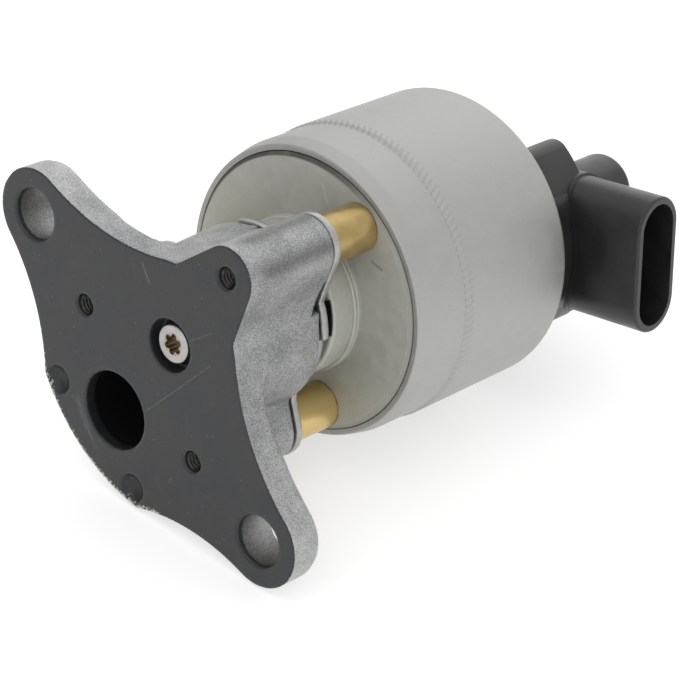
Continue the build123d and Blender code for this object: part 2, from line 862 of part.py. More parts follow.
def sensor_board():
    """The resistive track board, standing across the cap's room."""
    width = 2 * (housing_half_width - cap_wall - board_side_gap)
    height = housing_height - cap_wall - sensor_board_rise - sensor_board_roof_gap
    board = Box(sensor_board_thickness, width, height,
                align=(Align.CENTER, Align.CENTER, Align.MIN))
    return connector_frame(sensor_board_rise) * Pos(sensor_board_place, 0, 0) * board


def solids_of(shape):
    """All the solids of a shape or of a list of shapes."""
    if isinstance(shape, (list, tuple)):
        return [solid for item in shape for solid in item.solids()]
    return list(shape.solids())


def write(name, shape):
    """Moves a piece from the valve axis to its place and writes it."""
    solids = [Pos(0, axis_offset, 0) * solid for solid in solids_of(shape)]
    export_step(Compound(children=solids) if len(solids) > 1 else solids[0], f"parts/{name}.step")


pieces = {
    "base_casting": base_casting,
    "valve_seat": valve_seat,
    "pintle": pintle,
    "stem_bushing": stem_bushing,
    "gas_deflector": gas_deflector,
    "cover_gasket": cover_gasket,
    "cover_plate": cover_plate,
    "spacers": spacers,
    "clamp_screws": clamp_screws,
    "pole_plate": pole_plate,
    "stem_seal": stem_seal,
    "guide_sleeve": guide_sleeve,
    "armature": armature,
    "armature_nut": armature_nut,
    "upper_pole": upper_pole,
    "return_spring": return_spring,
    "bobbin": bobbin,
    "coil_winding": coil_winding,
    "coil_terminals": coil_terminals,
    "flux_washer": flux_washer,
    "can_shell": can_shell,
    "cap_seal": cap_seal,
    "sensor_cap": sensor_cap,
    "connector_pins": connector_pins,
    "sensor_plunger": sensor_plunger,
    "plunger_wiper": plunger_wiper,
    "sensor_spring": sensor_spring,
    "sensor_board": sensor_board,
}

os.makedirs("parts", exist_ok=True)
for name, make in pieces.items():
    write(name, make())
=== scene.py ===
import bpy
import json
import math
import numpy as np
from mathutils import Matrix, Vector


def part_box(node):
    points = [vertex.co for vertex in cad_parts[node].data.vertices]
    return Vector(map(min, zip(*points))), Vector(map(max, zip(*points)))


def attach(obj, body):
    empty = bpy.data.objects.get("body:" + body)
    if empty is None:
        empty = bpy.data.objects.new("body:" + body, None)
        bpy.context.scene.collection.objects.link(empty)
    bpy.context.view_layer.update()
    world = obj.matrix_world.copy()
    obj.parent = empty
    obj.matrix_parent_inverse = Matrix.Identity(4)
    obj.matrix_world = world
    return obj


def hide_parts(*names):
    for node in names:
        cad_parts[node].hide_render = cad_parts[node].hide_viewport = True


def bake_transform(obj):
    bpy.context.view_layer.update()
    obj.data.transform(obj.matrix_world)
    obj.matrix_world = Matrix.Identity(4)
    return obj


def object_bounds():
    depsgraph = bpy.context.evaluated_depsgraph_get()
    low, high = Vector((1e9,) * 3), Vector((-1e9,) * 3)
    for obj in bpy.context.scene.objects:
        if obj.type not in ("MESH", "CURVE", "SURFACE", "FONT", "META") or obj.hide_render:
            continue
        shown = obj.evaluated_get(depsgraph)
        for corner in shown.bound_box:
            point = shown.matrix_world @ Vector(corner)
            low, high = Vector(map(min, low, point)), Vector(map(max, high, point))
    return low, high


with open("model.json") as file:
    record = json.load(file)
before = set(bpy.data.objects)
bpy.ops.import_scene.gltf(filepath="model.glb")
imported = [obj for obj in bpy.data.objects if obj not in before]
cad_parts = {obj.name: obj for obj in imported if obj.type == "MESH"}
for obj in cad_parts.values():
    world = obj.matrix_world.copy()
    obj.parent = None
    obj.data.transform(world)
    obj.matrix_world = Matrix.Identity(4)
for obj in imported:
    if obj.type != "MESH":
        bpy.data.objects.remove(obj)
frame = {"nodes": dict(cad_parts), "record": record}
cad_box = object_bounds()

# Shapes are worked out in mm. Plans are drawn about the valve's axis, and mesh_object turns mm into metres.
MM = 0.001
AXIS_Y = 9.36

# Flange
FLANGE_THICKNESS = 5.7
FLANGE_EDGE = 0.8
EARS = ((33.7, -9.36), (-33.7, -9.36))
EAR_RADIUS = 8.2
EAR_CROWN, EAR_CROWN_EDGE = 2.6, 3.9
BOLT_HOLE_RADIUS = 4.5
UPPER_SWEEP, LOWER_SWEEP = 43.0, 39.0
SKIRT_RADIUS, SKIRT_HALF_WIDTH = 33.75, 14.45
DIMPLES = ((-11.5, -28.5), (11.5, -28.5))
DIMPLE_BALL, DIMPLE_BALL_DROP = 3.0, 1.4

# Casting body with its three screw lobes
CASTING_END = 19.3
WAIST_RADIUS, SHOULDER_GROWTH = 14.9, 0.9
SCREW_CIRCLE = 20.1
SCREWS = [(SCREW_CIRCLE * math.cos(math.radians(a)), SCREW_CIRCLE * math.sin(math.radians(a))) for a in (90, -36, -144)]
LOBE_RADIUS = 5.45
NOTCH_TURN = 56.5
NOTCH_RADIUS = 15.75
WEDGE_LENGTH, WEDGE_DROP, WEDGE_DEPTH = 5.3, 2.0, 1.4
TAP_RADIUS, SCREW_ROOM_RADIUS, TAP_LENGTH = 1.8, 2.1, 6.2

# Gas passages: round rooms are (radius, middle height, half height)
INLET_RADIUS, INLET_HEIGHT = 4.63, 2.6
SEAT_POCKET = (6.52, 4.4, 1.8)
CHAMBER = (8.2, 11.1, 4.9)
GUIDE_POCKET_RADIUS, GUIDE_POCKET_FLOOR = 10.0, 16.0
PORT_Y = -20.8
PORT_RADIUS, PORT_LAND = 7.0, 3.0
PORT_CAVITY = (8.0, 7.65, 5.35)
ACROSS_HALF_WIDTH, ACROSS_MIDDLE, ACROSS_HALF_HEIGHT = 6.0, 9.6, 3.4
PASSAGE_TOP = 14.0
DUCT_RADIUS, DUCT_TOP, DUCT_ROUNDING = 10.4, 16.2, 3.0

# Cover plate, pole plate and can
COVER_MIDDLE, COVER_HALF, COVER_TOP = 20.35, 0.75, 21.1
COVER_RADIUS, COVER_LOBE_RADIUS, COVER_BORE, COVER_SCREW_HOLE = 15.0, 5.55, 3.5, 2.2
TAB_TURNS, TAB_REACH, TAB_HALF_WIDTH = (131, 49), 16.1, 3.07
PLATE_FACE = 31.5
CAN_FRONT, CAN_REAR = 32.15, 71.65
CAN_RADIUS, BAND_RADIUS, CAN_BORE, CAN_LIP, CAN_REAR_LIP = 27.0, 26.6, 25.45, 24.87, 24.1
NOTCH_COUNT, NOTCH_RING = 132, 44.7


# ---------------------------------------------------------------- camera, floor and light
RIGHT = Vector((-0.56287499, 0.48980983, 0.6657763))
UPRIGHT = Vector((0.79971371, 0.52629224, 0.28891947))
BACK = Vector((-0.20887731, 0.69505598, -0.68794437))
CAMERA_PLACE = Vector((-0.104044, 0.32011921, -0.2748166))
DOWN = Vector((-0.513, -0.853, 0.100)).normalized()
UP = -DOWN
LEVEL = (BACK - BACK.dot(UP) * UP).normalized()
CENTRE = Vector((0, 0.009, 0.045))
FLOOR_REACH = 0.02602
FLOOR_HALF_SIDE = 6.0


def camera():
    data = bpy.data.cameras.new("camera")
    data.lens, data.sensor_width = 138.66, 36.0
    data.clip_start, data.clip_end = 0.01, 20.0
    cam = bpy.data.objects.new("camera", data)
    bpy.context.collection.objects.link(cam)
    cam.matrix_world = Matrix([*zip(RIGHT, UPRIGHT, BACK, CAMERA_PLACE), (0, 0, 0, 1)])
    bpy.context.scene.camera = cam


def softbox(name, place, size, power):
    """A round area light that looks at the object's middle. Size is in metres and power in watts."""
    data = bpy.data.lights.new(name, "AREA")
    data.shape, data.size, data.energy = "DISK", size, power
    lamp = bpy.data.objects.new(name, data)
    bpy.context.collection.objects.link(lamp)
    lamp.location = place
    lamp.rotation_euler = (CENTRE - place).to_track_quat("-Z", "Y").to_euler()


def floor():
    """The pale floor that the object leans on, clear when seen from behind."""
    side = FLOOR_HALF_SIDE
    mesh = bpy.data.meshes.new("floor")
    mesh.from_pydata([(-side, -side, 0), (side, -side, 0), (side, side, 0), (-side, side, 0)], [], [(0, 1, 2, 3)])
    obj = bpy.data.objects.new("floor", mesh)
    bpy.context.collection.objects.link(obj)
    obj.rotation_mode = "QUATERNION"
    obj.rotation_quaternion = UP.to_track_quat("Z", "Y")
    obj.location = DOWN * FLOOR_REACH
    mat = bpy.data.materials.new("floor")
    mat.use_nodes = True
    tree = mat.node_tree
    bsdf = tree.nodes["Principled BSDF"]
    bsdf.inputs["Base Color"].default_value = (0.66, 0.66, 0.655, 1)
    bsdf.inputs["Roughness"].default_value = 0.9
    bsdf.inputs["Emission Color"].default_value = (1, 1, 1, 1)
    bsdf.inputs["Emission Strength"].default_value = 0.50
    clear = tree.nodes.new("ShaderNodeBsdfTransparent")
    mix = tree.nodes.new("ShaderNodeMixShader")
    side_of = tree.nodes.new("ShaderNodeNewGeometry")
    tree.links.new(side_of.outputs["Backfacing"], mix.inputs[0])
    tree.links.new(bsdf.outputs[0], mix.inputs[1])
    tree.links.new(clear.outputs[0], mix.inputs[2])
    tree.links.new(mix.outputs[0], tree.nodes["Material Output"].inputs[0])
    obj.data.materials.append(mat)


def sky():
    """A soft studio: bright overhead and behind, dimmer towards the horizon and on the left."""
    world = bpy.data.worlds.new("world")
    bpy.context.scene.world = world
    world.use_nodes = True
    tree = world.node_tree
    background = tree.nodes["Background"]
    background.inputs["Color"].default_value = (1, 1, 1, 1)
    coord = tree.nodes.new("ShaderNodeTexCoord")

    def fade(direction, low, high, dark, bright):
        """A smooth change from dark to bright as a ray turns towards the direction."""
        dot = tree.nodes.new("ShaderNodeVectorMath")
        dot.operation = "DOT_PRODUCT"
        dot.inputs[1].default_value = direction
        tree.links.new(coord.outputs["Generated"], dot.inputs[0])
        ramp = tree.nodes.new("ShaderNodeMapRange")
        ramp.interpolation_type = "SMOOTHSTEP"
        for socket, value in zip(ramp.inputs[1:5], (low, high, dark, bright)):
            socket.default_value = value
        tree.links.new(dot.outputs["Value"], ramp.inputs[0])
        return ramp.outputs[0]

    product = tree.nodes.new("ShaderNodeMath")
    product.operation = "MULTIPLY"
    tree.links.new(fade(UP, -0.3, 0.9, 0.84, 0.94), product.inputs[0])
    tree.links.new(fade(RIGHT, -0.95, -0.35, 0.45, 1.0), product.inputs[1])
    tree.links.new(product.outputs[0], background.inputs["Strength"])


def studio():
    sky()
    softbox("key", CENTRE + UP * 0.75 + LEVEL * 0.10 - RIGHT * 0.30, 0.9, 0.8)
    softbox("front", CENTRE + UP * 0.35 + LEVEL * 0.8 - RIGHT * 0.5, 0.9, 0.8)
    softbox("rim", CENTRE + UP * 0.40 - LEVEL * 0.75 + RIGHT * 0.25, 0.9, 1.3)
    softbox("bounce", CENTRE - UP * 0.40 + LEVEL * 0.35 + RIGHT * 0.45, 0.7, 1.4)
    view = bpy.context.scene.view_settings
    view.view_transform = "Standard"
    view.look = "None"


# ---------------------------------------------------------------- material helpers
class Shade:
    """A material's node tree, with short calls for the nodes used here. Lengths are in mm."""

    def __init__(self, name, metallic=0.0):
        self.mat = bpy.data.materials.new(name)
        self.mat.use_nodes = True
        self.tree = self.mat.node_tree
        self.bsdf = self.tree.nodes["Principled BSDF"]
        self.bsdf.inputs["Metallic"].default_value = metallic
        coord = self.tree.nodes.new("ShaderNodeTexCoord")
        scale = self.tree.nodes.new("ShaderNodeVectorMath")
        scale.operation = "SCALE"
        scale.inputs["Scale"].default_value = 1 / MM
        self.link(coord.outputs["Object"], scale.inputs[0])
        self.place = scale.outputs[0]

    def link(self, a, b):
        self.tree.links.new(a, b)

    def put(self, socket, value):
        """Sets a socket to a number or a colour, or links another socket to it."""
        if isinstance(value, (int, float)):
            socket.default_value = value
        elif isinstance(value, tuple):
            socket.default_value = value + (1,) * (len(socket.default_value) - len(value))
        else:
            self.link(value, socket)

    def math(self, kind, a, b=0.0, c=0.0, clamp=False):
        node = self.tree.nodes.new("ShaderNodeMath")
        node.operation = kind
        node.use_clamp = clamp
        for socket, value in zip(node.inputs, (a, b, c)):
            self.put(socket, value)
        return node.outputs[0]

    def split(self):
        node = self.tree.nodes.new("ShaderNodeSeparateXYZ")
        self.link(self.place, node.inputs[0])
        return node.outputs[0], node.outputs[1], node.outputs[2]

    def join(self, x, y, z):
        node = self.tree.nodes.new("ShaderNodeCombineXYZ")
        for socket, value in zip(node.inputs, (x, y, z)):
            self.put(socket, value)
        return node.outputs[0]

    def reach(self, x, y):
        """The distance from the valve's axis."""
        return self.math("SQRT", self.math("MULTIPLY_ADD", x, x, self.math("MULTIPLY", y, y)))

    def noise(self, size, detail=3.0, rough=0.55, where=None):
        node = self.tree.nodes.new("ShaderNodeTexNoise")
        self.link(where or self.place, node.inputs["Vector"])
        node.inputs["Scale"].default_value = 1.0 / size
        node.inputs["Detail"].default_value = detail
        node.inputs["Roughness"].default_value = rough
        return node.outputs[0]

    def cells(self, size, dimensions="3D"):
        node = self.tree.nodes.new("ShaderNodeTexVoronoi")
        node.voronoi_dimensions = dimensions
        self.link(self.place, node.inputs["Vector"])
        node.inputs["Scale"].default_value = 1.0 / size
        return node.outputs["Distance"]

    def ramp(self, value, low, high, a=0.0, b=1.0, smooth=True):
        node = self.tree.nodes.new("ShaderNodeMapRange")
        node.interpolation_type = "SMOOTHSTEP" if smooth else "LINEAR"
        for socket, v in zip(node.inputs[:5], (value, low, high, a, b)):
            self.put(socket, v)
        return node.outputs[0]

    def mix(self, factor, a, b):
        node = self.tree.nodes.new("ShaderNodeMix")
        node.data_type = "RGBA"
        self.put(node.inputs[0], factor)
        self.put(node.inputs[6], a)
        self.put(node.inputs[7], b)
        return node.outputs[2]

    def attribute(self, name):
        node = self.tree.nodes.new("ShaderNodeAttribute")
        node.attribute_name = name
        return node.outputs["Fac"]

    def bump(self, height, depth, strength=0.5):
        node = self.tree.nodes.new("ShaderNodeBump")
        node.inputs["Strength"].default_value = strength
        node.inputs["Distance"].default_value = depth * MM
        self.link(height, node.inputs["Height"])
        return node.outputs[0]

    def set(self, **values):
        names = {"colour": "Base Color", "roughness": "Roughness", "metallic": "Metallic", "normal": "Normal"}
        for key, value in values.items():
            self.put(self.bsdf.inputs[names[key]], value)
        return self.mat

    def colour(self):
        """The socket that the base colour comes from."""
        return self.bsdf.inputs["Base Color"].links[0].from_socket

    def streak(self, a, b, width):
        """One inside a thin scratch from a to b, seen along Z, and nought away from it."""
        x, y, z = self.split()
        dx, dy = b[0] - a[0], b[1] - a[1]
        span = dx * dx + dy * dy
        px, py = self.math("SUBTRACT", x, a[0]), self.math("SUBTRACT", y, a[1])
        along = self.math("MULTIPLY", px, dx / span)
        along = self.math("MULTIPLY_ADD", py, dy / span, along, clamp=True)
        ex = self.math("SUBTRACT", px, self.math("MULTIPLY", along, dx))
        ey = self.math("SUBTRACT", py, self.math("MULTIPLY", along, dy))
        gap = self.math("SQRT", self.math("ADD", self.math("MULTIPLY", ex, ex), self.math("MULTIPLY", ey, ey)))
        return self.ramp(gap, width, 0.0)


# ---------------------------------------------------------------- materials
CHIP_FROM = 0.80
# Scratches on the mounting face: two ends, half width, strength
SCRATCHES = [
    ((13.0, 15.45), (9.7, 13.96), 0.30, 0.8),
    ((-4.3, -5.1), (-7.6, 14.7), 0.16, 0.75),
    ((-1.8, 12.9), (-4.2, 19.6), 0.12, 0.6),
    ((6.3, -17.9), (2.0, -19.9), 1.3, 0.42),
    ((2.0, -19.9), (-1.6, -21.0), 0.9, 0.35),
    ((15.0, 14.0), (12.0, 12.0), 0.08, 0.4),
    ((-9.0, 4.0), (-12.5, 1.0), 0.10, 0.35),
    ((-20.0, -6.0), (-23.0, -3.5), 0.09, 0.4),
    ((8.0, 3.0), (4.5, 1.6), 0.07, 0.35),
    ((-13.0, -12.0), (-16.5, -13.5), 0.12, 0.3),
    ((20.5, 3.0), (23.5, 0.5), 0.08, 0.35)]


def cast_silver(s, tone, reach):
    """Grainy cast metal, with painted light making it brighter towards the ears, and painted shade where the shade
    attribute says.
    """
    grain = s.ramp(tone, 0.34, 0.66)
    silver = s.mix(grain, (0.17, 0.175, 0.178), (0.44, 0.445, 0.445))
    # bright is a painted-light copy of the silver, blended in towards the ears.
    bright = s.mix(grain, (0.30, 0.305, 0.305), (0.62, 0.625, 0.62))
    silver = s.mix(s.ramp(reach, 18.0, 36.0, 0.0, 0.75), silver, bright)
    return s.mix(s.attribute("shade"), silver, (0.055, 0.055, 0.054))


def face_marks(s, x, y, z):
    """Dust and scratches on the dark face, as a strength from nought to one."""
    dust = s.ramp(s.cells(2.4, "2D"), 0.085, 0.045)
    marks = s.math("MULTIPLY", dust, s.ramp(s.noise(3.0, 2.0), 0.45, 0.65, 0.0, 0.7))
    for a, b, width, strength in SCRATCHES:
        marks = s.math("MAXIMUM", marks, s.math("MULTIPLY", s.streak(a, b, width), strength))
    drag = s.noise(0.9, 3.0, 0.6, where=s.join(s.math("MULTIPLY", x, 0.35), y, z))
    return s.math("MULTIPLY", marks, s.ramp(drag, 0.3, 0.62, 0.2, 1.0), clamp=True)


def casting_material():
    """Cast metal with a dark face, whose ragged edge lies at the height in the paint_depth attribute."""
    s = Shade("casting")
    x, y, z = s.split()
    grain = s.noise(0.20, 2.0, 0.7)
    coarse = s.noise(0.9, 3.0, 0.5)
    tone = s.math("MULTIPLY_ADD", coarse, 0.15, s.math("MULTIPLY", grain, 0.85))
    tone = s.math("MULTIPLY_ADD", s.math("SUBTRACT", s.noise(6.0, 2.0), 0.5), 0.25, tone)
    silver = cast_silver(s, tone, s.reach(x, s.math("SUBTRACT", y, AXIS_Y)))
    black = s.mix(s.ramp(s.noise(9.0, 3.0), 0.40, 0.62), (0.017, 0.0178, 0.0172), (0.0135, 0.0155, 0.0185))
    black = s.mix(s.ramp(s.noise(2.6, 4.0), 0.5, 0.75, 0.0, 0.45), black, (0.026, 0.0255, 0.0235))
    depth = s.attribute("paint_depth")
    ragged = s.math("MULTIPLY_ADD", s.noise(0.55, 3.0, 0.7), 0.9, -0.45)
    ragged = s.math("MULTIPLY", ragged, s.math("MINIMUM", depth, 0.6))
    paint = s.ramp(s.math("SUBTRACT", z, s.math("ADD", ragged, depth)), 0.04, -0.04)
    chip = s.math("MULTIPLY_ADD", s.attribute("wear"), 0.40, s.noise(0.62, 3.0, 0.7))
    chip = s.ramp(chip, CHIP_FROM, CHIP_FROM + 0.03)
    # deep is painted shade: where the shade attribute marks cavities and wedges, paint and silver go near black.
    deep = s.ramp(s.attribute("shade"), 0.78, 0.90)
    black = s.mix(face_marks(s, x, y, z), black, (0.115, 0.115, 0.11))
    black = s.mix(chip, black, (0.40, 0.39, 0.35))
    black = s.mix(deep, black, (0.008, 0.008, 0.0075))
    silver = s.mix(deep, silver, (0.006, 0.006, 0.006))
    rough = s.ramp(paint, 0, 1, 0.47, 0.40, smooth=False)
    rough = s.math("MULTIPLY_ADD", s.math("SUBTRACT", coarse, 0.5), 0.10, rough)
    metal = s.ramp(paint, 0, 1, 0.8, 0.0, smooth=False)
    height = s.math("MULTIPLY_ADD", s.cells(0.30), 0.6, grain)
    height = s.math("MULTIPLY", height, s.ramp(paint, 0, 1, 1.0, 0.10, smooth=False))
    height = s.math("MULTIPLY_ADD", chip, -0.35, height)
    normal = s.bump(height, 0.10, 0.7)
    return s.set(colour=s.mix(paint, silver, black), roughness=rough, metallic=metal, normal=normal)


def satin_metal(name, colour, dark, roughness, mottle, grain, bump=0.012, metallic=1.0):
    """Plain satin metal with faint clouds, a fine grain and a few dark specks."""
    s = Shade(name, metallic)
    cloud = s.noise(mottle, 3.0, 0.55)
    fine = s.noise(grain, 2.0, 0.5)
    tone = s.ramp(s.math("MULTIPLY_ADD", fine, 0.35, s.math("MULTIPLY", cloud, 0.65)), 0.30, 0.70)
    speck = s.ramp(s.cells(2.3), 0.07, 0.04, 0.0, 0.5)
    colour = s.mix(speck, s.mix(tone, dark, colour), tuple(0.6 * c for c in dark))
    rough = s.ramp(cloud, 0.3, 0.7, roughness - 0.03, roughness + 0.04)
    s.set(colour=colour, roughness=rough, normal=s.bump(fine, bump))
    return s


def gold_material():
    """Gold passivated tube, browner at its ends. The two lower tubes are paler, as painted light."""
    s = Shade("gold_zinc", 0.8)
    x, y, z = s.split()
    cloud = s.noise(3.0, 2.0, 0.5)
    drawn = s.noise(0.5, 2.0, 0.5, where=s.join(x, y, s.math("MULTIPLY", z, 0.15)))
    ends = s.math("MINIMUM", s.math("SUBTRACT", z, COVER_TOP), s.math("SUBTRACT", PLATE_FACE, z))
    ends = s.math("MULTIPLY_ADD", s.noise(0.8), 0.4, ends)
    gold = s.mix(s.ramp(cloud, 0.35, 0.65), (0.385, 0.275, 0.105), (0.445, 0.325, 0.135))
    # Painted light: the lower tubes get a paler gold.
    gold = s.mix(s.ramp(y, 12.0, 4.0), gold, (0.68, 0.50, 0.21))
    colour = s.mix(s.ramp(ends, 0.15, 0.65), (0.23, 0.145, 0.055), gold)
    return s.set(colour=colour, roughness=s.ramp(drawn, 0.3, 0.7, 0.30, 0.36), normal=s.bump(drawn, 0.004))


def pintle_material():
    """Turned stainless steel, brownish and darker inside the drive socket."""
    s = satin_metal("stainless", (0.46, 0.455, 0.44), (0.36, 0.355, 0.34), 0.30, 1.2, 0.15)
    x, y, z = s.split()
    reach = s.reach(x, s.math("SUBTRACT", y, AXIS_Y))
    socket = s.math("MULTIPLY", s.ramp(reach, 2.15, 1.85), s.ramp(s.noise(0.5), 0.3, 0.7, 0.6, 1.0))
    return s.set(colour=s.mix(socket, s.colour(), (0.33, 0.27, 0.19)))


def pole_material():
    """Matt plated steel: faint scuffs on the disc, with painted shade as a darker rim and a dark slot beside the
    cover's tab.
    """
    s = satin_metal("pole_steel", (0.54, 0.545, 0.50), (0.47, 0.475, 0.43), 0.60, 2.6, 0.2, 0.006, 0.6)
    x, y, z = s.split()
    y = s.math("SUBTRACT", y, AXIS_Y)
    reach = s.reach(x, y)
    # Painted shade along the disc's rim, where it meets the can's lip, stronger towards +x.
    rim = s.math("MULTIPLY", s.ramp(reach, 23.95, 24.3), s.ramp(x, -8.0, 12.0, 0.45, 0.95))
    colour = s.mix(rim, s.colour(), (0.07, 0.07, 0.06))
    scratch, scuff = s.streak((9.9, 28.6), (6.6, 26.8), 0.16), s.streak((-5.9, 27.4), (-8.1, 28.2), 0.45)
    colour = s.mix(s.math("MULTIPLY", scratch, 0.7), colour, (0.75, 0.75, 0.70))
    colour = s.mix(s.math("MULTIPLY", scuff, 0.55), colour, (0.16, 0.16, 0.15))
    colour = s.mix(s.ramp(s.noise(7.0, 3.0), 0.55, 0.75, 0.0, 0.25), colour, (0.36, 0.36, 0.30))
    # A painted shadow of the slot beside the cover's tab.
    u, v = polar(1, 136)
    beside_tab = s.math("DIVIDE", s.math("MULTIPLY_ADD", x, u, s.math("MULTIPLY", y, v)), reach)
    slot = s.math("MULTIPLY", s.ramp(z, 25.3, 25.0), s.ramp(beside_tab, 0.965, 0.972))
    return s.set(colour=s.mix(slot, colour, (0.005, 0.005, 0.005)))


def plastic_material(name, colour, light, roughness=0.46):
    """Moulded plastic, with a fine skin and slow changes of gloss."""
    s = Shade(name)
    fine = s.noise(0.3, 3.0, 0.6)
    broad = s.noise(5.0, 3.0)
    tone = s.ramp(s.math("MULTIPLY_ADD", fine, 0.4, s.math("MULTIPLY", broad, 0.6)), 0.38, 0.62)
    rough = s.ramp(broad, 0.3, 0.7, roughness - 0.05, roughness + 0.06)
    return s.set(colour=s.mix(tone, colour, light), roughness=rough, normal=s.bump(fine, 0.02))


def grained(name, colour, dark, roughness, metallic, grain):
    """A plain grained finish for the pieces inside."""
    s = Shade(name, metallic)
    fine = s.noise(grain, 3.0, 0.6)
    tone = s.ramp(fine, 0.35, 0.65)
    rough = s.ramp(fine, 0.3, 0.7, roughness - 0.05, roughness + 0.05)
    return s.set(colour=s.mix(tone, dark, colour), roughness=rough, normal=s.bump(fine, 0.012))


# ---------------------------------------------------------------- points in a plane
def polar(radius, angle):
    return (radius * math.cos(math.radians(angle)), radius * math.sin(math.radians(angle)))


def arc(centre, start, end, count=40):
    """Points on the arc about a centre from start to end, the end left out."""
    a = math.atan2(start[1] - centre[1], start[0] - centre[0])
    b = math.atan2(end[1] - centre[1], end[0] - centre[0])
    turn = (b - a + math.pi) % (2 * math.pi) - math.pi
    radius = math.hypot(start[0] - centre[0], start[1] - centre[1])
    angles = [a + turn * k / count for k in range(count)]
    return [(centre[0] + radius * math.cos(angle), centre[1] + radius * math.sin(angle)) for angle in angles]


def toward(centre, target, distance):
    """The point at that distance from the centre, on the way to the target."""
    dx, dy = target[0] - centre[0], target[1] - centre[1]
    span = math.hypot(dx, dy)
    return (centre[0] + distance * dx / span, centre[1] + distance * dy / span)


def circles_meet(a, ra, b, rb):
    """Where two circles meet, on the left of the way from a to b."""
    dx, dy = b[0] - a[0], b[1] - a[1]
    gap = math.hypot(dx, dy)
    along = (ra * ra - rb * rb + gap * gap) / (2 * gap)
    across = math.sqrt(ra * ra - along * along)
    return (a[0] + (along * dx - across * dy) / gap, a[1] + (along * dy + across * dx) / gap)


def mirrored(half):
    """A closed outline from its right half, whose last point lies on the line of symmetry."""
    return half + [(-px, py) for px, py in reversed(half[:-1])]


# ---------------------------------------------------------------- distance fields
GRID_STEP = 0.25


def polygon_distance(points, x, y):
    """Signed distance to a closed polygon, negative inside."""
    best = np.full(x.shape, 1e9, np.float32)
    inside = np.zeros(x.shape, bool)
    for (ax, ay), (bx, by) in zip(points, points[1:] + points[:1]):
        ex, ey = bx - ax, by - ay
        wx, wy = x - ax, y - ay
        t = np.clip((wx * ex + wy * ey) / (ex * ex + ey * ey + 1e-12), 0, 1)
        gx, gy = wx - t * ex, wy - t * ey
        np.minimum(best, gx * gx + gy * gy, out=best)
        if ay != by:
            inside ^= ((ay > y) != (by > y)) & (x < ax + (y - ay) / (by - ay) * ex)
    best = np.sqrt(best)
    return np.where(inside, -best, best)


def capsule_distance(a, b, radius, x, y):
    """Signed distance to a slot from a to b in a plane."""
    ex, ey = b[0] - a[0], b[1] - a[1]
    t = np.clip(((x - a[0]) * ex + (y - a[1]) * ey) / (ex * ex + ey * ey), 0, 1)
    return np.hypot(x - a[0] - t * ex, y - a[1] - t * ey) - radius


def room(radius, z, size):
    """Distance to a round room about the axis that the radius is taken from."""
    wide, middle, half = size
    return np.maximum(radius - wide, np.abs(z - middle) - half)


def both(a, b, r):
    """Intersection, with its edge rounded to r."""
    return np.minimum(-r, np.maximum(a, b)) + np.hypot(np.maximum(r + a, 0), np.maximum(r + b, 0))


def either(a, b, r):
    """Union, with its root filled to r, which may change from place to place."""
    return np.maximum(r, np.minimum(a, b)) - np.hypot(np.maximum(r - a, 0), np.maximum(r - b, 0))


def without(a, b, r):
    """A less b, with the edge rounded to r."""
    return both(a, -np.broadcast_to(b, a.shape), r)


def grid(low, high):
    axes = [np.arange(lo, hi + GRID_STEP, GRID_STEP, dtype=np.float32) for lo, hi in zip(low, high)]
    return axes, np.meshgrid(axes[0], axes[1], indexing="ij"), axes[2][None, None, :]


def surface(field, axes):
    """The zero surface of a sampled field, as points and quads: one point in each cell that the surface crosses."""
    inside = field < 0
    corners = [(i, j, k) for i in (0, 1) for j in (0, 1) for k in (0, 1)]
    count = sum(inside[i:i - 1 or None, j:j - 1 or None, k:k - 1 or None].astype(np.int8) for i, j, k in corners)
    active = (count > 0) & (count < len(corners))
    cell = np.argwhere(active)
    number = np.full(active.shape, -1, np.int64)
    number[active] = np.arange(len(cell))
    value = {c: field[cell[:, 0] + c[0], cell[:, 1] + c[1], cell[:, 2] + c[2]] for c in corners}
    total, hits = np.zeros((len(cell), 3)), np.zeros(len(cell))
    for a in corners:
        for axis in range(3):
            if a[axis]:
                continue
            b = tuple(1 if n == axis else v for n, v in enumerate(a))
            cross = (value[a] < 0) != (value[b] < 0)
            point = np.tile(np.array(a, float), (cross.sum(), 1))
            point[:, axis] = value[a][cross] / (value[a][cross] - value[b][cross])
            total[cross] += point
            hits[cross] += 1
    start = np.array([axis[0] for axis in axes])
    points = start + GRID_STEP * (cell + total / hits[:, None])
    quads = []
    for axis in range(3):
        u, v = [n for n in range(3) if n != axis]
        low, high = [slice(1, -1)] * 3, [slice(1, -1)] * 3
        low[axis], high[axis] = slice(0, -1), slice(1, None)
        first, second = inside[tuple(low)], inside[tuple(high)]
        for flip, where in ((False, first & ~second), (True, ~first & second)):
            at = np.argwhere(where)
            at[:, u] += 1
            at[:, v] += 1
            ring = []
            for du, dv in ((-1, -1), (0, -1), (0, 0), (-1, 0)):
                q = at.copy()
                q[:, u] += du
                q[:, v] += dv
                ring.append(number[q[:, 0], q[:, 1], q[:, 2]])
            ring = np.stack(ring, 1)
            quads.append(ring[:, ::-1] if flip != (axis == 1) else ring)
    return points, np.concatenate(quads)


